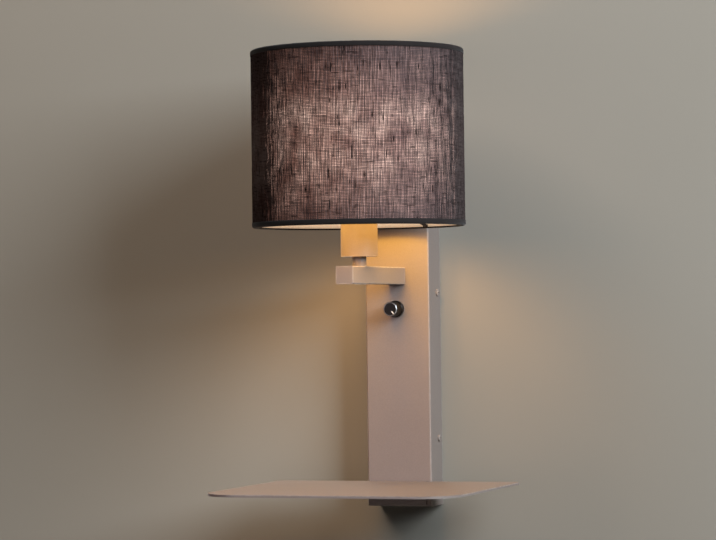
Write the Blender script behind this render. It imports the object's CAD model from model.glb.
"""Wall lamp with a drum shade, a dimmer knob and a small shelf.

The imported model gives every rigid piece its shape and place. This script dresses
those pieces, weaves the shade's linen, lining and trims, and sets the light and
the camera. All sizes are in metres: the wall is the plane y = 0, the lamp stands
out along -Y and +Z is up.
"""

import logging
import math
from collections.abc import Callable, Iterable, Mapping
from dataclasses import dataclass
from enum import Enum

import bmesh
import bpy
from mathutils import Matrix, Vector


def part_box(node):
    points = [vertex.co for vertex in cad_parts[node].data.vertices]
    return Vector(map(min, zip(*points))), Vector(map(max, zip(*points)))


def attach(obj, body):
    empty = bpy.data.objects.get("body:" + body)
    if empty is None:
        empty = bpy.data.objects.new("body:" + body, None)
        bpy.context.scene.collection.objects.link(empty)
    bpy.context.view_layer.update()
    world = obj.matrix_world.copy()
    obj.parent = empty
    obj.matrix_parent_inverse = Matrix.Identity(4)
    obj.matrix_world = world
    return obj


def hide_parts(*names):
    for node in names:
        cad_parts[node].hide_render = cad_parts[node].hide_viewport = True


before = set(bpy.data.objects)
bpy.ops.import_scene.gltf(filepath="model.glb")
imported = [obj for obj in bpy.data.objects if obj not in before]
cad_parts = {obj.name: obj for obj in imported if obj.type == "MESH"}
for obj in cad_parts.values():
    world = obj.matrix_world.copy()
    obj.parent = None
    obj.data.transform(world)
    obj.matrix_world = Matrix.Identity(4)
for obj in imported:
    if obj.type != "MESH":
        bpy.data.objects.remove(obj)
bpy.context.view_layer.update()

MM = 0.001
LAYER_GAP = 0.05 * MM
STAGE = ("wall", "floor")
FIXTURE = "fixture"
log = logging.getLogger("wall_lamp")

Piece = bpy.types.Object
Material = bpy.types.Material
Colour = tuple[float, float, float, float]
Place = tuple[float, float, float]
Section = list[tuple[float, float]]
Ripple = Callable[[float, float], float]
Sockets = dict[str, object]


class Rim(Enum):
    """The shade's two edges, each with the direction from the edge into the shade."""

    BOTTOM = 1.0
    TOP = -1.0


# ---- node trees ----


def paint(code: str) -> Colour:
    """Turns a colour code into the linear colour that nodes and lamps take.

    Args:
        code: Six hexadecimal digits after a hash sign.

    Returns:
        Red, green, blue and alpha.
    """
    shares = [int(code[i : i + 2], 16) / 255 for i in (1, 3, 5)]
    linear = [s / 12.92 if s <= 0.04045 else ((s + 0.055) / 1.055) ** 2.4 for s in shares]
    return linear[0], linear[1], linear[2], 1.0


def math_step(operation: str, is_reversed: bool = False) -> Callable[..., "Wire"]:
    """Makes a method of Wire that adds a Math node.

    Args:
        operation: What the node does.
        is_reversed: Whether the other value goes into its first socket.

    Returns:
        The method, which takes the other value where the operation needs one.
    """

    def step(wire: "Wire", *other: "Wire | float") -> "Wire":
        """Adds the node and returns a wire from it."""
        return wire.math(operation, *((*other, wire) if is_reversed else (wire, *other)))

    return step


class Wire:
    """An output socket that takes part in Python sums; each operator adds a Math node."""

    __add__ = __radd__ = math_step("ADD")
    __sub__ = math_step("SUBTRACT")
    __rsub__ = math_step("SUBTRACT", is_reversed=True)
    __mul__ = __rmul__ = math_step("MULTIPLY")
    __truediv__ = math_step("DIVIDE")
    __rtruediv__ = math_step("DIVIDE", is_reversed=True)
    __pow__ = math_step("POWER")
    __abs__ = math_step("ABSOLUTE")
    least = math_step("MINIMUM")
    most = math_step("MAXIMUM")
    below = math_step("LESS_THAN")
    floor = math_step("FLOOR")
    whole = math_step("ROUND")
    sine = math_step("SINE")
    cosine = math_step("COSINE")

    def __init__(self, graph: "Graph", socket: bpy.types.NodeSocket) -> None:
        """Keeps the socket and the graph that it belongs to."""
        self.graph = graph
        self.socket = socket

    def math(self, operation: str, *values: "Wire | float") -> "Wire":
        """Adds a Math node with the given operation and values."""
        return self.graph.node("ShaderNodeMath", dict(enumerate(values)), operation=operation)

    def equals(self, number: "Wire | float") -> "Wire":
        """Gives 1 where this whole number is the given one, and 0 elsewhere."""
        return self.math("COMPARE", self, number, 0.1)

    def around(self, middle: float, spread: float) -> "Wire":
        """Turns noise from 0 to 1 into values round a middle, as far apart as the spread."""
        return middle + spread * (self - 0.5)

    def ease(self, start: float, end: float) -> "Wire":
        """Rises smoothly from 0 at start to 1 at end; start may be the larger."""
        sockets = {"Value": self, "From Min": start, "From Max": end}
        return self.graph.node("ShaderNodeMapRange", sockets, interpolation_type="SMOOTHSTEP")

    def other(self, name: str) -> "Wire":
        """Gives another output of the node that this wire comes from."""
        return Wire(self.graph, self.socket.node.outputs[name])


Value = Wire | float


class Graph:
    """A node tree while it is being built, for a material or for geometry."""

    def __init__(self, tree: bpy.types.NodeTree) -> None:
        """Keeps the tree that nodes are added to."""
        self.tree = tree

    def node(
        self,
        kind: str,
        sockets: Mapping[int | str, object] | None = None,
        output: int | str = 0,
        **settings: object,
    ) -> Wire:
        """Adds a node, sets it up and connects it.

        Args:
            kind: The node's type.
            sockets: Its inputs by name or number, each a wire or a plain value.
            output: The output that the returned wire starts from.
            settings: Its properties, which are set first.

        Returns:
            A wire from that output.
        """
        node = self.tree.nodes.new(kind)
        for name, value in settings.items():
            setattr(node, name, value)
        for key, value in (sockets or {}).items():
            if isinstance(value, Wire):
                self.tree.links.new(value.socket, node.inputs[key])
            else:
                node.inputs[key].default_value = value
        return Wire(self, node.outputs[output]) if node.outputs else Wire(self, None)

    def vector(self, x: Value, y: Value, z: Value) -> Wire:
        """Joins three values into a vector."""
        return self.node("ShaderNodeCombineXYZ", {0: x, 1: y, 2: z})

    def split(self, vector: Wire) -> tuple[Wire, Wire, Wire]:
        """Splits a vector into its three values."""
        x = self.node("ShaderNodeSeparateXYZ", {0: vector})
        return x, x.other("Y"), x.other("Z")

    def noise(self, place: Wire, scale: float = 1.0, detail: float = 0.0) -> Wire:
        """Gives soft noise from 0 to 1, in waves of about 1 / scale."""
        return self.node("ShaderNodeTexNoise", {"Vector": place, "Scale": scale, "Detail": detail})

    def chance(self, number: Wire) -> Wire:
        """Gives an even random value from 0 to 1 for each number."""
        return self.node("ShaderNodeTexWhiteNoise", {"W": number}, noise_dimensions="1D")

    def stretched(self, place: Wire, scales: Place, detail: float = 0.0) -> Wire:
        """Gives noise with its own scale along each axis."""
        scaled = self.node("ShaderNodeVectorMath", {0: place, 1: scales}, operation="MULTIPLY")
        return self.noise(scaled, 1.0, detail)

    def blend(self, share: Value, first: Wire | str, second: Wire | str) -> Wire:
        """Mixes two colours, each a wire or a colour code, by a share from 0 to 1."""
        ends = [paint(end) if isinstance(end, str) else end for end in (first, second)]
        # The node's colours are its sockets 6 and 7, and their mixture is output 2.
        sockets = {0: share, 6: ends[0], 7: ends[1]}
        return self.node("ShaderNodeMix", sockets, output=2, data_type="RGBA", clamp_factor=True)

    def dimmed(self, colour: Wire, amount: Value) -> Wire:
        """Multiplies a colour by an amount."""
        return self.node("ShaderNodeVectorMath", {0: colour, "Scale": amount}, operation="SCALE")

    def bump(self, height: Wire, distance: float) -> Wire:
        """Turns a height into a normal; the distance is how high a height of 1 stands."""
        return self.node("ShaderNodeBump", {"Height": height, "Distance": distance})

    def place(self) -> Wire:
        """Gives the point on the piece, in the lamp's own frame."""
        return self.node("ShaderNodeTexCoord", output="Object")

    def seen(self) -> Wire:
        """Gives 1 for what is looked at, also in a mirror or through glass, and 0 for light."""
        path = self.node("ShaderNodeLightPath", output="Is Camera Ray")
        return path.most(path.other("Is Glossy Ray")).most(path.other("Is Transmission Ray"))


class Recipe(Graph):
    """A Geometry Nodes tree with named inputs that makes one piece."""

    def __init__(self, name: str) -> None:
        """Starts an empty tree with a geometry output."""
        super().__init__(bpy.data.node_groups.new(name, "GeometryNodeTree"))
        self.tree.interface.new_socket("Geometry", in_out="OUTPUT", socket_type="NodeSocketGeometry")
        self.entry = self.tree.nodes.new("NodeGroupInput")
        self.names: dict[str, str] = {}

    def ask(self, *names: str, kind: str = "Float") -> list[Wire]:
        """Adds named inputs and returns a wire from each."""
        for name in names:
            socket = self.tree.interface.new_socket(name, in_out="INPUT", socket_type=f"NodeSocket{kind}")
            self.names[name] = socket.identifier
        return [Wire(self, self.entry.outputs[name]) for name in names]

    def close(self, geometry: Wire) -> None:
        """Ends the tree: instances become real and the piece gets its material."""
        material = self.ask("Material", kind="Material")[0]
        real = self.node("GeometryNodeRealizeInstances", {0: geometry})
        done = self.node("GeometryNodeSetMaterial", {"Geometry": real, "Material": material})
        self.node("NodeGroupOutput", {0: done})

    def make(self, name: str, values: Mapping[str, object], material: Material) -> Piece:
        """Runs the tree once and keeps its result as a plain mesh.

        Args:
            name: The piece's name.
            values: The inputs by name, apart from the material.
            material: The piece's material.

        Returns:
            The piece, at the origin.
        """
        host = link_piece(name + "_host", bpy.data.meshes.new(name + "_host"))
        modifier = host.modifiers.new("recipe", "NODES")
        modifier.node_group = self.tree
        for label, value in {**values, "Material": material}.items():
            modifier[self.names[label]] = value
        depsgraph = bpy.context.evaluated_depsgraph_get()
        evaluated = host.evaluated_get(depsgraph)
        mesh = bpy.data.meshes.new_from_object(evaluated, preserve_all_data_layers=True, depsgraph=depsgraph)
        bpy.data.objects.remove(host)
        return link_piece(name, mesh)


# ---- shared steps ----


def link_piece(name: str, mesh: bpy.types.Mesh) -> Piece:
    """Puts a mesh into the scene as an object at the origin."""
    piece = bpy.data.objects.new(name, mesh)
    bpy.context.scene.collection.objects.link(piece)
    return piece


def emptied(owner: Material | bpy.types.World) -> Graph:
    """Clears the nodes of a material or a world and gives its tree to build in."""
    owner.use_nodes = True
    owner.node_tree.nodes.clear()
    return Graph(owner.node_tree)


def radius_of(node: str) -> float:
    """Gives half the width of a round node."""
    low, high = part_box(node)
    return (high.x - low.x) / 2


def axis_y() -> float:
    """Gives where the upright axis of stem, bulb and shade stands."""
    low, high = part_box("bulb_globe")
    return ((low + high) / 2).y


def ring_size() -> tuple[float, float]:
    """Gives the outer radius of the shade's wire rings and the thickness of their wire."""
    low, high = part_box("shade_top_ring")
    return (high.x - low.x) / 2, high.z - low.z


def dress(finish: "Finish", *names: str) -> Material:
    """Gives nodes of the frame a finish and returns the material made for them."""
    material = finish.material()
    for name in names:
        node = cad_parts[name]
        node.data.materials.clear()
        node.data.materials.append(material)
        log.info("%s wears %s", name, material.name)
    return material


def settle(piece: Piece, slot: str, *replaced: str) -> None:
    """Tells the frame that a new piece belongs to the fixture and what it stands for.

    Args:
        piece: The finished piece.
        slot: The record's material slot for its finish.
        replaced: The nodes that it stands for.
    """
    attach(piece, FIXTURE)
    if replaced:
        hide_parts(*replaced)
    log.info("%s: %d faces", piece.name, len(piece.data.polygons))


@dataclass(frozen=True)
class Sweep:
    """A closed section, as radii and heights, and the angles that it is turned through."""

    section: Section
    steps: int
    start: float = 0.0
    end: float = 2 * math.pi

    def add_to(self, shape: bmesh.types.BMesh, ripple: Ripple) -> None:
        """Adds the swept solid to a shape: a whole ring, or an arc with closed ends."""
        is_ring = math.isclose(self.end - self.start, 2 * math.pi)
        axis = axis_y()
        rings = []
        for step in range(self.steps if is_ring else self.steps + 1):
            angle = self.start + (self.end - self.start) * step / self.steps
            ring = []
            for radius, height in self.section:
                out = radius + ripple(angle, height)
                corner = (out * math.cos(angle), axis + out * math.sin(angle), height)
                ring.append(shape.verts.new(corner))
            rings.append(ring)
        for ring, after in zip(rings, rings[1:] + rings[:1] if is_ring else rings[1:]):
            for i in range(len(ring)):
                j = (i + 1) % len(ring)
                shape.faces.new((ring[i], after[i], after[j], ring[j]))
        if not is_ring:
            shape.faces.new(rings[0])
            shape.faces.new(rings[-1][::-1])


def turned(name: str, sweeps: Iterable[Sweep], ripple: Ripple, material: Material) -> Piece:
    """Turns closed sections about the shade's upright axis.

    Args:
        name: The piece's name.
        sweeps: The sections with their angles.
        ripple: What is added to the radius, from an angle and a height.
        material: The piece's material.

    Returns:
        The piece, closed and with its faces outwards.
    """
    shape = bmesh.new()
    for sweep in sweeps:
        sweep.add_to(shape, ripple)
    bmesh.ops.recalc_face_normals(shape, faces=shape.faces)
    for face in shape.faces:
        face.smooth = True
    mesh = bpy.data.meshes.new(name)
    shape.to_mesh(mesh)
    shape.free()
    mesh.materials.append(material)
    return link_piece(name, mesh)


# ---- finishes ----


@dataclass(frozen=True)
class Finish:
    """A surface finish. Each kind says what feeds the sockets of its shader."""

    name: str

    def sockets(self, graph: Graph) -> Sockets:
        """Gives the shader's sockets by name."""
        raise NotImplementedError

    def material(self) -> Material:
        """Builds the material of this finish."""
        material = bpy.data.materials.new(self.name)
        material.cycles.emission_sampling = "NONE"
        graph = emptied(material)
        shader = graph.node("ShaderNodeBsdfPrincipled", self.sockets(graph))
        graph.node("ShaderNodeOutputMaterial", {"Surface": shader})
        return material


@dataclass(frozen=True)
class PowderCoat(Finish):
    """Matte powder coat: a fine grain, a faint cloud and paler, smoother edges."""

    low: Vector
    high: Vector
    is_round: bool = False
    deep: str = "#7a6e66"
    pale: str = "#8b7f77"
    rubbed: str = "#a1968e"
    roughness: float = 0.52
    cloud_scale: float = 11
    scuff_scale: float = 160
    dimple_scale: float = 420
    grain_scale: float = 1300
    grain_depth: float = 0.05 * MM
    wear_reach: float = 1.1 * MM

    def edge_wear(self, graph: Graph, place: Wire) -> Wire:
        """Gives a mask that is 1 on the edges of the piece's box and 0 away from them.

        A point lies near an edge where two of its distances to the box's faces are
        small, so the middle one of its three distances decides. A round piece has
        its edges where its ends meet its barrel.
        """
        middle = (self.low + self.high) / 2
        half = (self.high - self.low) / 2
        x, y, z = graph.split(place)
        a, b, c = (half[i] - abs(part - middle[i]) for i, part in enumerate((x, y, z)))
        second = a.least(b).most(a.most(b).least(c))
        if self.is_round:
            across, back = x - middle.x, y - middle.y
            second = c.most(half.x - (across * across + back * back) ** 0.5)
        return second.ease(self.wear_reach, 0.0)

    def sockets(self, graph: Graph) -> Sockets:
        """Gives the shader's sockets by name."""
        place = graph.place()
        cloud = graph.noise(place, self.cloud_scale, 3)
        grain = graph.noise(place, self.grain_scale, 2)
        dimples = graph.noise(place, self.dimple_scale, 1)
        scuff = graph.noise(place, self.scuff_scale, 3).ease(0.4, 0.62)
        worn = self.edge_wear(graph, place) * (0.35 + 0.65 * scuff)
        tone = cloud.around(0.5, 0.9) + 0.8 * (grain - 0.5)
        return {
            "Base Color": graph.blend(worn, graph.blend(tone, self.deep, self.pale), self.rubbed),
            "Roughness": cloud.around(self.roughness, 0.16) - 0.12 * worn,
            "Specular IOR Level": 0.4,
            "Normal": graph.bump(grain + 0.4 * dimples, self.grain_depth),
        }


@dataclass(frozen=True)
class Moulded(Finish):
    """Moulded plastic or rubber with a fine texture and slight flow marks."""

    deep: str
    pale: str
    roughness: float
    texture_scale: float = 1800
    texture_depth: float = 0.02 * MM
    specular: float = 0.5
    flow_scales: Place = (60, 60, 22)

    def sockets(self, graph: Graph) -> Sockets:
        """Gives the shader's sockets by name."""
        place = graph.place()
        flow = graph.stretched(place, self.flow_scales, 3)
        texture = graph.noise(place, self.texture_scale, 1)
        return {
            "Base Color": graph.blend(flow.around(0.5, 1.2), self.deep, self.pale),
            "Roughness": flow.around(self.roughness, 0.18),
            "Specular IOR Level": self.specular,
            "Normal": graph.bump(texture, self.texture_depth),
        }


@dataclass(frozen=True)
class Metal(Finish):
    """Plated or bare metal with cloudy plating and fine drawing lines."""

    deep: str
    pale: str
    roughness: float
    line_scales: Place = (900, 900, 45)
    line_depth: float = 0.012 * MM
    plating_scale: float = 130

    def sockets(self, graph: Graph) -> Sockets:
        """Gives the shader's sockets by name."""
        place = graph.place()
        plating = graph.noise(place, self.plating_scale, 4)
        lines = graph.stretched(place, self.line_scales, 2)
        return {
            "Base Color": graph.blend(plating.around(0.5, 1.3), self.deep, self.pale),
            "Metallic": 1.0,
            "Roughness": plating.around(self.roughness, 0.25) + 0.12 * (lines - 0.5),
            "Normal": graph.bump(lines, self.line_depth),
        }


@dataclass(frozen=True)
class DippedWire(Finish):
    """Dark dip coat on wire: satin, a little thicker in places."""

    sag_scale: float = 210
    sag_depth: float = 0.12 * MM

    def sockets(self, graph: Graph) -> Sockets:
        """Gives the shader's sockets by name."""
        sag = graph.noise(graph.place(), self.sag_scale, 3)
        return {
            "Base Color": graph.blend(sag, "#1c1615", "#3a302e"),
            "Roughness": 0.38 + 0.2 * sag,
            "Normal": graph.bump(sag, self.sag_depth),
        }


@dataclass(frozen=True)
class OpalGlass(Finish):
    """Opal glass of the lit bulb, brightest round its middle and dimmer at the neck."""

    bulb_z: float
    glow_reach: float
    frosting_scale: float = 700
    frosting_depth: float = 0.01 * MM

    def sockets(self, graph: Graph) -> Sockets:
        """Gives the shader's sockets by name."""
        place = graph.place()
        _, _, z = graph.split(place)
        body = (abs(z - self.bulb_z) / self.glow_reach).ease(1.5, 0.2)
        frosting = graph.noise(place, self.frosting_scale, 2)
        glow = graph.blend(body, "#e8a765", "#fff3df")
        return {
            "Base Color": graph.blend(frosting, "#efe9dd", "#fbf7ee"),
            "Roughness": 0.28 + 0.14 * frosting,
            "Emission Color": graph.dimmed(glow, 0.75 + 0.35 * body),
            "Emission Strength": 1.0,
            "Normal": graph.bump(frosting, self.frosting_depth),
        }


@dataclass(frozen=True)
class Glow:
    """How the bulb's light falls off on the shade, by the height above or below it."""

    bulb_z: float
    shade_r: float
    power: float

    def amount(self, z: Wire) -> Wire:
        """Gives 1 at the bulb's height and less above and below."""
        rise = (z - self.bulb_z) / self.shade_r
        return (1 / (1 + rise * rise)) ** self.power


@dataclass(frozen=True)
class Drift:
    """Noise over woven cloth: its rates across and along, its own layer and its detail."""

    across: float
    along: float
    layer: float = 0.0
    detail: float = 0.0

    def over(self, graph: Graph, number: Wire, along: Wire, seed: Value = 0.0) -> Wire:
        """Gives the noise at a thread's number and at a height or a row's number."""
        spot = graph.vector(number * self.across, along * self.along, seed + self.layer)
        return graph.noise(spot, 1.0, self.detail)


@dataclass(frozen=True)
class LinenCloth(Finish):
    """Coarse linen: dark upright threads of uneven tone, with the lamp's glow in its pores."""

    glow: Glow
    pore_share: float
    weft_pitch: float = 1.2 * MM
    thread_relief: float = 0.12 * MM
    thread_deep: str = "#1c1716"
    thread_pale: str = "#4a4140"
    slub_dark: str = "#0c0909"
    pore_pale: str = "#7d7172"
    light_deep: str = "#b86f5a"
    light_hot: str = "#ffd5c2"
    strength: float = 1.36
    leak: float = 0.014
    streaks: Drift = Drift(0.83, 120, 0, 2)
    patches: Drift = Drift(0.06, 40, 4, 3)
    slubs: Drift = Drift(0.55, 70, 9, 1)
    row_sway: Drift = Drift(0.11, 160, 2)
    weft_tones: Drift = Drift(0.07, 1.7, 6, 2)
    weft_slubs: Drift = Drift(0.09, 3.1, 12, 1)

    def sockets(self, graph: Graph) -> Sockets:
        """Gives the shader's sockets by name."""
        cloth = graph.node("ShaderNodeAttribute", output="Vector", attribute_name="cloth")
        thread, height, _ = graph.split(cloth)
        number = thread.floor()
        streak = self.streaks.over(graph, number, height)
        patch = self.patches.over(graph, number, height)
        slub = self.slubs.over(graph, number, height).ease(0.63, 0.76)
        row = height / self.weft_pitch + 0.9 * self.row_sway.over(graph, number, height)
        row_number = row.floor()
        off_middle = abs(row - row_number - 0.5)
        weft_tone = self.weft_tones.over(graph, number, row_number)
        weft_slub = self.weft_slubs.over(graph, number, row_number).ease(0.62, 0.74)
        weft_gap = off_middle.ease(0.36, 0.1)

        # The threads' own colour
        dark = slub.most(0.6 * weft_slub)
        tone = graph.chance(number).around(0.5, 0.2) + 1.5 * (streak - 0.5) + 0.8 * (patch - 0.5)
        tone = tone + 1.3 * (weft_tone - 0.5) + 0.5 * (0.5 - weft_gap)
        threads = graph.blend(dark, graph.blend(tone, self.thread_deep, self.thread_pale), self.slub_dark)

        # The lamp's light that comes through the pores
        is_pore = (thread - number).ease(1.4 * self.pore_share, self.pore_share)
        open_share = (0.15 + 0.85 * weft_gap) * (1.8 * weft_tone + 0.1) * (1.2 * streak + 0.4)
        open_share = (open_share * (1 - 0.9 * dark)).most(0.0) * (2.0 * patch).most(0.1)
        near = self.glow.amount(height)
        through = near * (is_pore * open_share + self.leak * (1 - dark))
        behind = is_pore * (0.4 + 0.6 * weft_gap) * (1 - dark)
        light = graph.blend(near * (2.0 * patch - 0.4), self.light_deep, self.light_hot)
        return {
            "Base Color": graph.blend(behind, threads, self.pore_pale),
            "Roughness": 0.92 - 0.12 * tone,
            "Specular IOR Level": 0.06,
            "Emission Color": graph.dimmed(light, self.strength * through),
            "Emission Strength": 1.0,
            "Normal": graph.bump(off_middle + 0.5 * streak, self.thread_relief),
        }


@dataclass(frozen=True)
class LiningCloth(Finish):
    """Pale lining, finely woven and lit from inside the shade."""

    glow: Glow
    strength: float = 0.44
    rib_scales: Place = (900, 900, 24)
    weft_scales: Place = (14, 14, 1400)
    cloud_scale: float = 38
    relief: float = 0.08 * MM

    def sockets(self, graph: Graph) -> Sockets:
        """Gives the shader's sockets by name."""
        place = graph.place()
        _, _, z = graph.split(place)
        rib = graph.stretched(place, self.rib_scales, 1)
        weft = graph.stretched(place, self.weft_scales, 1)
        cloud = graph.noise(place, self.cloud_scale, 3)
        weave = 0.6 * rib + 0.4 * weft
        near = self.glow.amount(z)
        light = graph.blend(near, "#f0c8a4", "#ffe6c4")
        return {
            "Base Color": graph.blend(weave + 0.6 * (cloud - 0.5), "#d9c7b8", "#f2e8dd"),
            "Roughness": weave.around(0.7, 0.2),
            "Specular IOR Level": 0.3,
            "Emission Color": graph.dimmed(light, self.strength * near * (0.8 + 0.4 * weave)),
            "Emission Strength": 1.0,
            "Normal": graph.bump(weave, self.relief),
        }


@dataclass(frozen=True)
class TrimTape(Finish):
    """Dark cloth tape, finely ribbed along its length."""

    rib_scales: Place = (60, 60, 2100)
    warp_scale: float = 1250
    cloud_scale: float = 55
    relief: float = 0.16 * MM

    def sockets(self, graph: Graph) -> Sockets:
        """Gives the shader's sockets by name."""
        place = graph.place()
        rib = graph.stretched(place, self.rib_scales, 1)
        warp = graph.noise(place, self.warp_scale, 2)
        cloud = graph.noise(place, self.cloud_scale, 3)
        weave = 0.5 * rib + 0.5 * warp
        return {
            "Base Color": graph.blend(weave + 0.8 * (cloud - 0.5), "#0f0a09", "#241c1a"),
            "Roughness": weave.around(0.85, 0.2),
            "Specular IOR Level": 0.25,
            "Sheen Weight": 0.1,
            "Normal": graph.bump(weave, self.relief),
        }


# ---- the shade ----


@dataclass
class LinenDrum:
    """The shade's outer cloth, woven thread by thread round the drum.

    The cloth is a closed sheet whose outer face is made of upright threads of uneven
    width. Each thread has four columns of corners: the two edges of the pore beside it
    and the two edges of its crest.
    """

    threads: int = 500
    rows: int = 42
    columns: int = 4
    pore_width: float = 0.42
    least_pore: float = 0.2
    pore_spread: float = 1.6
    shoulder: float = 0.08
    groove: float = 0.35 * MM
    sway: float = 0.9
    unevenness: float = 0.3
    slub_rise: float = 0.1 * MM
    lap: float = 7 * MM
    lap_fade: float = 3 * MM
    lap_start: float = 0.04 * MM
    lap_rise: float = 0.3 * MM
    edge_inset: float = 1.2 * MM
    seam_turn: float = math.radians(90)
    seed: float = 4.0
    weld: float = 0.002 * MM
    pores: Drift = Drift(3.7, 110)
    leans: Drift = Drift(0.19, 16, 3)
    slubs: Drift = Drift(0.9, 75, 9, 1)

    def recipe(self) -> Recipe:
        """Builds the tree that weaves the cloth."""
        tree = Recipe("linen_weave")
        threads, rows = tree.ask("Threads", "Rows", kind="Int")
        radius, wall, groove, low, high = tree.ask("Radius", "Wall", "Groove", "Low", "High")
        axis, pore, seed = tree.ask("Axis Y", "Pore width", "Seed")

        counts = {"Vertices X": threads * self.columns + 1, "Vertices Y": rows + 4}
        grid = tree.node("GeometryNodeMeshGrid", {"Size X": 1.0, "Size Y": 1.0, **counts})
        across, up, _ = tree.split(tree.node("GeometryNodeInputPosition"))
        column = ((across + 0.5) * threads * self.columns).whole()
        row = ((up + 0.5) * (rows + 3)).whole()
        thread = ((column + 0.1) / self.columns).floor()
        part = column - thread * self.columns
        number = thread - (thread / threads).floor() * threads

        # The rows run up the outer face, over the top and back down the inner face.
        risen = ((row - 1) / rows).most(0.0).least(1.0) * (1 - row.equals(rows + 3))
        height = low + risen * (high - low)
        is_inner = row.below(0.5).most(1 - row.below(rows + 1.5))

        # A thread's four columns: its pore's two edges, which lie in the groove, and its crest's.
        width = pore * (self.least_pore + self.pore_spread * self.pores.over(tree, number, height, seed))
        share = part.equals(1) * width + part.equals(2) * (width + self.shoulder)
        share = share + part.equals(3) * (1 - self.shoulder)
        following = number + 1 - ((number + 1) / threads).floor() * threads
        nudge = (1 - share) * tree.chance(number + 0.5) + share * tree.chance(following + 0.5)
        drift = self.leans.over(tree, number, height, seed) - 0.5
        drop = part.below(1.5)
        slub = self.slubs.over(tree, number, height).ease(0.6, 0.75)
        from_seam = (thread + share) / threads * radius * 2 * math.pi
        lapped = from_seam.ease(self.lap + self.lap_fade, self.lap) * from_seam.ease(0.0, self.lap_start)
        outer = radius - groove * drop + self.slub_rise * slub * (1 - drop) + self.lap_rise * lapped
        reach = outer + is_inner * (radius - wall - outer)
        order = thread + share + self.unevenness * nudge + self.sway * drift
        turn = self.seam_turn + 2 * math.pi * order / threads
        spot = tree.vector(reach * turn.cosine(), axis + reach * turn.sine(), height)

        label = {"Geometry": grid, "Name": "cloth", "Value": tree.vector(column / self.columns, height, 0.0)}
        kind = {"data_type": "FLOAT_VECTOR", "domain": "CORNER"}
        named = tree.node("GeometryNodeStoreNamedAttribute", label, **kind)
        placed = tree.node("GeometryNodeSetPosition", {"Geometry": named, "Position": spot})
        merged = tree.node("GeometryNodeMergeByDistance", {"Geometry": placed, "Distance": self.weld})
        tree.close(tree.node("GeometryNodeSetShadeSmooth", {"Geometry": merged}))
        return tree

    def build(self, glow: Glow) -> None:
        """Weaves the cloth in the place of the plain drum.

        Args:
            glow: How the bulb lights the cloth from inside.
        """
        low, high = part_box("shade_fabric")
        radius = radius_of("shade_fabric")
        wall = radius - radius_of("shade_lining") - LAYER_GAP
        material = LinenCloth("linen_cloth", glow, 1 / self.columns).material()
        values = {
            "Threads": self.threads, "Rows": self.rows, "Radius": radius, "Wall": wall,
            "Groove": self.groove, "Low": low.z + self.edge_inset, "High": high.z - self.edge_inset,
            "Axis Y": axis_y(), "Pore width": self.pore_width, "Seed": self.seed,
        }
        cloth = self.recipe().make("shade_linen", values, material)
        settle(cloth, "linen", "shade_fabric")


@dataclass
class LiningDrum:
    """The pale lining inside the linen, with its hem turned up over the bottom wire ring.

    The hem is cut at each of the frame's arms.
    """

    first_arm: float
    arms: int
    steps: int = 240
    rows: int = 30
    thickness: float = 0.4 * MM
    cloth: float = 0.3 * MM
    wave: float = 0.04 * MM
    waves: int = 17
    wave_slant: float = 90
    wave_rise: float = 70
    edge_inset: float = 0.9 * MM
    hem_start: float = 0.9 * MM
    hem_rise: float = 3.4 * MM
    hem_end: float = 6.6 * MM
    hem_cut: float = math.radians(2)
    hem_gap: float = 0.1 * MM

    def hem(self, inner: float) -> list[Sweep]:
        """Gives the hem's arcs, which lean from the ring's inside to the lining.

        Args:
            inner: The lining's inner radius.

        Returns:
            One arc between each two of the frame's arms.
        """
        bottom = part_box("shade_frame")[0].z
        ring_r, wire = ring_size()
        inside = ring_r - wire - LAYER_GAP - self.cloth / 2
        path = [(inside, bottom + self.hem_start), (inside, bottom + self.hem_rise),
                (inner - self.hem_gap - self.cloth / 2, bottom + self.hem_end)]
        section = thickened(path, self.cloth / 2)
        step = 2 * math.pi / self.arms
        starts = [self.first_arm + self.hem_cut + i * step for i in range(self.arms)]
        arc = step - 2 * self.hem_cut
        return [Sweep(section, self.steps // self.arms, start, start + arc) for start in starts]

    def build(self, glow: Glow) -> None:
        """Makes the lining in the place of the plain drum.

        Args:
            glow: How the bulb lights the cloth from inside.
        """
        low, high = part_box("shade_lining")
        outer = radius_of("shade_lining")
        inner = outer - self.thickness
        bottom, top = low.z + self.edge_inset, high.z - self.edge_inset
        heights = [bottom + (top - bottom) * i / self.rows for i in range(self.rows + 1)]
        section = [(outer, z) for z in heights] + [(inner, z) for z in reversed(heights)]

        def wave(angle: float, height: float) -> float:
            """Gives the lining's waviness at an angle and a height."""
            lean = math.sin(self.waves * angle + self.wave_slant * height)
            return self.wave * lean * math.sin(self.wave_rise * height)

        sweeps = [Sweep(section, self.steps), *self.hem(inner)]
        cloth = turned("shade_lining_cloth", sweeps, wave, LiningCloth("lining_cloth", glow).material())
        settle(cloth, "lining", "shade_lining")


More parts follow.
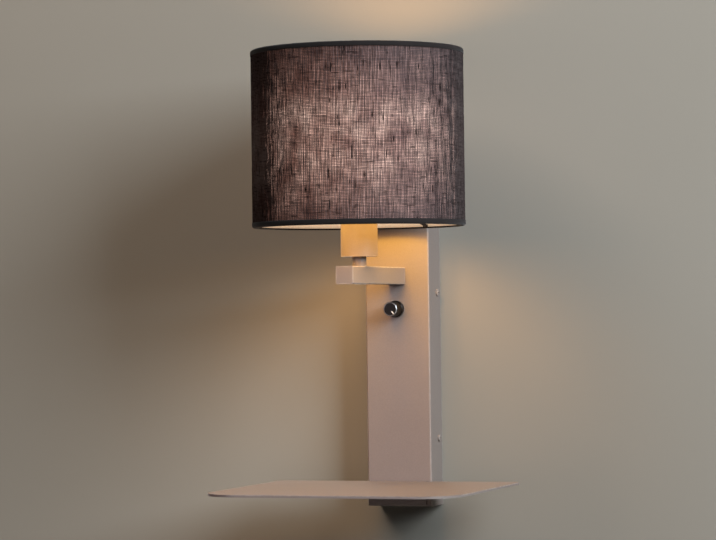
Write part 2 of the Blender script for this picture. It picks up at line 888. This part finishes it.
@dataclass
class EdgeTrim:
    """Tape rolled over one of the shade's wire rings."""

    rim: Rim
    tape: float = 0.4 * MM
    inner_leg: float = 1.2 * MM
    tuck: float = 2.6 * MM
    outer_turn: float = 1.75 * MM
    inner_turn: float = 0.9 * MM
    arc_steps: int = 6
    steps: int = 360
    ripple: float = 0.05 * MM
    slow_waves: int = 23
    fast_waves: int = 41

    def path(self, radius: float, inner_radius: float, height: float) -> Section:
        """Gives the middle line of the tape's section, with its edge at height 0.

        Args:
            radius: The trim's outer radius.
            inner_radius: The trim's inner radius.
            height: How far the outer leg reaches from the edge.

        Returns:
            Points from the outer leg's free end to the inner leg's free end.
        """
        half = self.tape / 2
        outer_r, inner_r = radius - half, inner_radius + half
        points = [(outer_r, height), (outer_r, (height + self.outer_turn) / 2)]
        for corner_r, turn, start in ((outer_r - self.outer_turn, self.outer_turn, 0),
                                      (inner_r + self.inner_turn, self.inner_turn, 90)):
            for i in range(self.arc_steps + 1):
                angle = math.radians(start + 90 * i / self.arc_steps)
                points.append((corner_r + turn * math.cos(angle), half + turn - turn * math.sin(angle)))
        points.append((inner_r, self.inner_leg))
        return points

    def build(self, node: str) -> None:
        """Makes the trim in the place of the plain one.

        Args:
            node: The plain trim's name.
        """
        low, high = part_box(node)
        ring_r, wire = ring_size()
        radius = radius_of(node)
        path = self.path(radius, ring_r - wire - LAYER_GAP - self.tape, high.z - low.z)
        edge = low.z if self.rim is Rim.BOTTOM else high.z
        section = [(r, edge + self.rim.value * z) for r, z in thickened(path, self.tape / 2)]

        def wobble(angle: float, height: float) -> float:
            """Gives the tape's unevenness at an angle and a height."""
            share = abs(height - edge) / (high.z - low.z)
            waves = math.sin(self.slow_waves * angle) + math.sin(self.fast_waves * angle + 2)
            return self.ripple * share * waves / 2 - self.ripple

        name = node + "_tape"
        trim = turned(name, [Sweep(section, self.steps)], wobble, TrimTape(name).material())
        settle(trim, "trim", node)


def thickened(path: Section, half: float) -> Section:
    """Gives a closed outline that lies half a thickness to both sides of a line.

    Args:
        path: The line's points.
        half: Half of the thickness.

    Returns:
        The outline's points, along one side and back along the other.
    """
    sides: tuple[Section, Section] = ([], [])
    for i, point in enumerate(path):
        before, after = path[max(i - 1, 0)], path[min(i + 1, len(path) - 1)]
        along = Vector((after[0] - before[0], after[1] - before[1])).normalized()
        for side, sign in zip(sides, (1, -1)):
            side.append((point[0] - sign * half * along.y, point[1] + sign * half * along.x))
    return sides[0] + sides[1][::-1]


@dataclass
class WireFrame:
    """The dark wire frame of the shade, with a weld bead at each end of its arms."""

    arms: int = 3
    first_arm: float = math.radians(67)
    bead: float = 1.7 * MM
    bead_flat: float = 0.72
    fitter_reach: float = 1.6 * MM
    fitter_drop: float = 1 * MM

    def recipe(self) -> Recipe:
        """Builds the tree that sets a bead at each end of the arms."""
        tree = Recipe("weld_beads")
        arms = tree.ask("Arms", kind="Int")[0]
        bead, radius, height, axis, first = tree.ask("Bead", "Radius", "Height", "Axis Y", "First arm")
        ring = tree.node("GeometryNodeCurvePrimitiveCircle", {"Resolution": arms, "Radius": radius})
        points = tree.node("GeometryNodeCurveToPoints", {0: ring}, mode="EVALUATED")
        ball = tree.node("GeometryNodeMeshIcoSphere", {"Radius": bead, "Subdivisions": 3})
        copies = {"Points": points, "Instance": ball, "Scale": (1.0, 1.0, self.bead_flat)}
        beads = tree.node("GeometryNodeInstanceOnPoints", copies)
        spin = tree.vector(0.0, 0.0, first)
        shift = tree.vector(0.0, axis, height)
        placed = {"Geometry": beads, "Translation": shift, "Rotation": spin}
        tree.close(tree.node("GeometryNodeTransform", placed))
        return tree

    def build(self) -> None:
        """Coats the frame and adds its weld beads."""
        coat = dress(DippedWire("dark_wire"), "shade_frame", "shade_top_ring")
        low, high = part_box("shade_frame")
        ring_r, wire = ring_size()
        fitter_r = radius_of("shade_lock_ring") + self.fitter_reach
        tree = self.recipe()
        ends = {"weld_beads_ring": (ring_r - wire, low.z + wire / 2),
                "weld_beads_fitter": (fitter_r, high.z - self.fitter_drop)}
        for name, (radius, height) in ends.items():
            values = {"Arms": self.arms, "Bead": self.bead, "Radius": radius, "Height": height,
                      "Axis Y": axis_y(), "First arm": self.first_arm}
            settle(tree.make(name, values, coat), "dark_wire")


@dataclass
class Shade:
    """The whole drum shade: lining, linen, trims and wire frame."""

    glow_power: float = 2.3
    glow_lift: float = 3 * MM
    lining_power: float = 1.0

    def build(self, bulb_z: float) -> None:
        """Makes and dresses the shade.

        Args:
            bulb_z: The height of the bulb's middle.
        """
        radius = radius_of("shade_fabric")
        wires = WireFrame()
        LiningDrum(wires.first_arm, wires.arms).build(Glow(bulb_z, radius, self.lining_power))
        LinenDrum().build(Glow(bulb_z + self.glow_lift, radius, self.glow_power))
        EdgeTrim(Rim.TOP).build("shade_top_trim")
        EdgeTrim(Rim.BOTTOM).build("shade_bottom_trim")
        wires.build()


# ---- the rigid pieces ----


@dataclass
class CoatedParts:
    """The folded, drawn and cut steel pieces under the powder coat, and their screws."""

    flat: tuple[str, ...] = ("column_cover", "arm_tube", "arm_end_cap", "shelf_plate")
    round: tuple[str, ...] = ("stem", "lampholder_cup")
    screws: tuple[str, ...] = ("cover_screws", "shelf_screws")
    screw_tones: tuple[str, ...] = ("#7f746c", "#9c9087", "#b0a499")

    def build(self) -> None:
        """Coats each piece; the wear follows the edges of its own box."""
        for name in self.flat + self.round + self.screws:
            tones = self.screw_tones if name in self.screws else ()
            dress(PowderCoat(f"powder_coat_{name}", *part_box(name), name in self.round, *tones), name)


@dataclass
class Lampholder:
    """The lampholder with its lock ring, the bulb, and the terminal block of the same plastic."""

    def build(self, bulb_z: float) -> None:
        """Dresses the lampholder and the bulb, and lets the bulb's light out of its glass."""
        white = Moulded("white_thermoplastic", "#cfcac0", "#e6e2d8", 0.42)
        dress(white, "lampholder_body", "shade_lock_ring", "terminal_block")
        brass = Metal("brass", "#8d6a2c", "#cfae68", 0.34)
        dress(brass, "lampholder_shell", "lampholder_contact", "terminal_screws")
        dress(Metal("bulb_cap_metal", "#9b9c9c", "#c9c8c4", 0.3), "bulb_cap")
        dress(Moulded("black_insulator", "#0d0d0e", "#1d1d20", 0.35), "bulb_contact")
        dress(OpalGlass("opal_glass", bulb_z, radius_of("bulb_globe")), "bulb_globe")
        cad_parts["bulb_globe"].visible_shadow = False


@dataclass
class Dimmer:
    """The dimmer's housing, and the black knob with its silver ring and white pointer."""

    knob: Moulded = Moulded("knob_black", "#070503", "#120d08", 0.34, texture_scale=2600,
                            texture_depth=0.006 * MM, specular=0.12)
    ring: Metal = Metal("knob_silver", "#737373", "#939291", 0.38, line_scales=(30, 30, 30))

    def build(self) -> None:
        """Dresses the dimmer and the knob."""
        dress(Moulded("black_housing", "#121214", "#232326", 0.5), "dimmer_body")
        dress(self.knob, "knob")
        dress(self.ring, "knob_ring")
        dress(Moulded("knob_white", "#d9d6d2", "#f3f1ee", 0.4), "knob_pointer")


@dataclass
class HiddenParts:
    """The plates, blocks, nuts and leads inside the column and the arm."""

    zinc: tuple[str, ...] = (
        "wall_plate", "arm_root_block", "arm_backing_plate", "arm_screws", "nipple", "nipple_nuts",
        "shelf_nut_plate", "dimmer_washer", "dimmer_nut", "dimmer_shaft",
    )

    def build(self) -> None:
        """Dresses the pieces that only show from behind or with the cover off."""
        dress(Metal("zinc_steel", "#8c9196", "#c3c6c9", 0.36), *self.zinc)
        dress(Moulded("black_rubber", "#141313", "#242323", 0.75), "cable_bush")
        dress(Moulded("white_sleeve", "#d8d4ca", "#eeebe3", 0.5), "lamp_lead", "dimmer_leads")


# ---- stage, light and camera ----


@dataclass(frozen=True)
class Backdrop:
    """A plain stage surface that shows only from its front and lets light pass."""

    name: str
    deep: str
    pale: str
    plaster_scale: float = 3

    def material(self) -> Material:
        """Builds the surface: painted plaster to the eye, clear to the lamps."""
        material = bpy.data.materials.new(self.name)
        graph = emptied(material)
        plaster = graph.noise(graph.place(), self.plaster_scale, 4)
        colour = graph.blend(plaster, self.deep, self.pale)
        shown = graph.node("ShaderNodeBsdfDiffuse", {"Color": colour})
        clear = graph.node("ShaderNodeBsdfTransparent")
        front = 1 - graph.node("ShaderNodeNewGeometry", output="Backfacing")
        mixed = graph.node("ShaderNodeMixShader", {0: graph.seen() * front, 1: clear, 2: shown})
        graph.node("ShaderNodeOutputMaterial", {"Surface": mixed})
        return material


def lit_group(name: str, pieces: Iterable[str]) -> bpy.types.Collection:
    """Collects the pieces that a lamp lights."""
    group = bpy.data.collections.new(name)
    for piece in pieces:
        group.objects.link(bpy.data.objects[piece])
    return group


@dataclass(frozen=True)
class Lamp:
    """What all lamps have: a name, a power in watts and a colour."""

    name: str
    power: float
    colour: Place

    def hang(self, name: str, kind: str, place: Place, lit: bpy.types.Collection | None) -> Piece:
        """Adds a light with this lamp's power and colour.

        Args:
            name: The light's name.
            kind: Its type.
            place: Where it stands.
            lit: The only pieces that it lights, or None for all.

        Returns:
            The light's object.
        """
        light = bpy.data.lights.new(name, kind)
        light.energy = self.power
        light.color = self.colour
        holder = bpy.data.objects.new(name, light)
        holder.location = place
        bpy.context.scene.collection.objects.link(holder)
        if lit is not None:
            holder.light_linking.receiver_collection = lit
        return holder


@dataclass(frozen=True)
class SoftLamp(Lamp):
    """A square soft lamp that points at the fixture."""

    place: Place
    size: float

    def build(self, lit: bpy.types.Collection | None = None) -> None:
        """Adds the lamp, which lights everything or only the lit pieces."""
        holder = self.hang(self.name, "AREA", self.place, lit)
        holder.data.shape = "SQUARE"
        holder.data.size = self.size
        holder.rotation_euler = (-Vector(self.place)).to_track_quat("-Z", "Y").to_euler()


@dataclass
class Studio:
    """The wall, the floor and the soft light round the lamp."""

    wall_gap: float = 0.5 * MM
    floor_z: float = -0.62
    reach: float = 9.0
    front_sky: float = 0.025
    back_sky: float = 0.06
    backdrop: float = 0.6
    key: SoftLamp = SoftLamp("key", 102.6, (0.822, 0.909, 1.0), (2.105, -1.231, 1.061), 1.37)
    wash: SoftLamp = SoftLamp("wash", 71.0, (1.0, 0.811, 0.677), (-1.097, -0.945, 2.442), 1.6)
    fill: SoftLamp = SoftLamp("fill", 28.0, (1.0, 0.79, 0.87), (-0.906, -2.954, 0.682), 1.6)
    behind: SoftLamp = SoftLamp("behind", 38.0, (1.0, 0.96, 0.92), (-1.2, 1.9, -0.2), 1.3)
    soft_parts: tuple[str, ...] = ("shade_linen", "shade_top_trim_tape", "shade_bottom_trim_tape")

    def plane(self, name: str, corners: list[Place], finish: Backdrop) -> None:
        """Adds a flat stage surface from its four corners."""
        mesh = bpy.data.meshes.new(name)
        mesh.from_pydata(corners, [], [(0, 1, 2, 3)])
        mesh.materials.append(finish.material())
        link_piece(name, mesh)

    def world(self) -> None:
        """Sets a soft sky, brighter from the front, that the eye sees as a pale backdrop."""
        world = bpy.data.worlds.new("studio")
        bpy.context.scene.world = world
        graph = emptied(world)
        _, depth, _ = graph.split(graph.node("ShaderNodeTexCoord", output="Generated"))
        level = self.back_sky + (self.front_sky - self.back_sky) * depth.ease(0.3, -0.3)
        sky, backdrop = (
            graph.node("ShaderNodeBackground", {"Color": paint(colour), "Strength": strength})
            for colour, strength in (("#fbfbff", level), ("#dcd9d2", self.backdrop))
        )
        mixed = graph.node("ShaderNodeMixShader", {0: graph.seen(), 1: sky, 2: backdrop})
        graph.node("ShaderNodeOutputWorld", {"Surface": mixed})

    def build(self) -> None:
        """Sets up the stage and its lights."""
        r, y, z = self.reach, self.wall_gap, self.floor_z
        wall = [(-r, y, z), (r, y, z), (r, y, r), (-r, y, r)]
        floor = [(-r, -r, z), (r, -r, z), (r, y, z), (-r, y, z)]
        self.plane("wall", wall, Backdrop("wall_paint", "#9a958a", "#a09b90"))
        self.plane("floor", floor, Backdrop("floor_paint", "#cdc9c0", "#d3cfc7"))
        self.world()
        pieces = [piece.name for piece in bpy.context.scene.objects if piece.type == "MESH"]
        hard = lit_group("lit_by_fill", [name for name in pieces if name not in self.soft_parts + STAGE])
        self.key.build()
        self.wash.build(lit_group("lit_by_wash", STAGE))
        self.fill.build(hard)
        self.behind.build(hard)


@dataclass(frozen=True)
class WarmLamps(Lamp):
    """Warm round lamps on a ring inside the shade that light only some pieces.

    The ring's radius and lift are measured from the shade's axis and the cup's top.
    """

    lit: tuple[str, ...]
    ring: float
    lift: float
    size: float = 20 * MM
    count: int = 1
    first: float = math.radians(-90)

    def build(self, cup_z: float) -> None:
        """Adds the lamps.

        Args:
            cup_z: The height of the lampholder cup's top.
        """
        group = lit_group(f"lit_by_{self.name}", self.lit)
        for i in range(self.count):
            angle = self.first + 2 * math.pi * i / self.count
            y = axis_y() + self.ring * math.sin(angle)
            place = (self.ring * math.cos(angle), y, cup_z + self.lift)
            holder = self.hang(f"{self.name}_{i}", "POINT", place, group)
            holder.data.shadow_soft_size = self.size
            holder.visible_camera = False
            holder.visible_glossy = False
            holder.visible_transmission = False


@dataclass
class LampLight:
    """The lamp's own warm light: from the bulb, and thrown back by the lining."""

    front: tuple[str, ...] = (
        "column_cover", "cover_screws", "shelf_plate", "knob", "knob_ring", "knob_pointer",
    )
    arm: tuple[str, ...] = ("arm_tube", "arm_end_cap")
    cup: tuple[str, ...] = ("stem", "lampholder_cup")
    amber: Place = (1.0, 0.52, 0.08)

    def build(self, cup_z: float) -> None:
        """Adds the lamps.

        Args:
            cup_z: The height of the lampholder cup's top.
        """
        rings = (
            WarmLamps("bulb", 2.37, (1.0, 0.519, 0.163), (*self.front, *self.arm, *STAGE),
                      ring=29 * MM, lift=36 * MM, size=52 * MM),
            WarmLamps("glare", 1.0, (1.0, 0.55, 0.02), self.front,
                      ring=20 * MM, lift=12 * MM, size=15 * MM, first=math.radians(90)),
            WarmLamps("rim", 0.38, self.amber, self.front,
                      ring=60 * MM, lift=0.0, size=30 * MM, first=math.radians(-40)),
            WarmLamps("bounce", 0.63, (1.0, 0.62, 0.2), self.arm,
                      ring=60 * MM, lift=0.0, count=3, first=math.radians(60)),
            WarmLamps("halo", 0.28, self.amber, self.cup, ring=75 * MM, lift=-15 * MM, count=6),
        )
        for ring in rings:
            ring.build(cup_z)


@dataclass
class Viewpoint:
    """The camera: from the right of the lamp, at about the height of its arm."""

    place: Place = (0.81072, -2.45046, 0.0498)
    yaw: float = 0.3368
    pitch: float = 0.0137
    roll: float = -0.0133
    lens: float = 145.99
    sensor: float = 36.0

    def build(self) -> None:
        """Makes the camera and points it."""
        ahead = Vector((-math.sin(self.yaw) * math.cos(self.pitch),
                        math.cos(self.yaw) * math.cos(self.pitch), math.sin(self.pitch)))
        level = Vector((math.cos(self.yaw), math.sin(self.yaw), 0.0))
        down = ahead.cross(level)
        across = level * math.cos(self.roll) - down * math.sin(self.roll)
        along = down * math.cos(self.roll) + level * math.sin(self.roll)
        camera = bpy.data.cameras.new("camera")
        camera.lens = self.lens
        camera.sensor_width = self.sensor
        holder = bpy.data.objects.new("camera", camera)
        turn = Matrix((across, -along, -ahead)).transposed()
        holder.matrix_world = Matrix.Translation(self.place) @ turn.to_4x4()
        bpy.context.scene.collection.objects.link(holder)
        bpy.context.scene.camera = holder


# ---- the lamp ----


def main() -> None:
    """Builds the lamp, its stage and its light."""
    logging.basicConfig(level=logging.INFO, format="%(name)s: %(message)s")
    bpy.context.scene.view_settings.view_transform = "Standard"
    bulb_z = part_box("bulb_globe")[1].z - radius_of("bulb_globe")
    cup_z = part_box("lampholder_cup")[1].z

    Viewpoint().build()
    Shade().build(bulb_z)
    CoatedParts().build()
    Lampholder().build(bulb_z)
    Dimmer().build()
    HiddenParts().build()
    Studio().build()
    LampLight().build(cup_z)


if __name__ == "__main__":
    main()
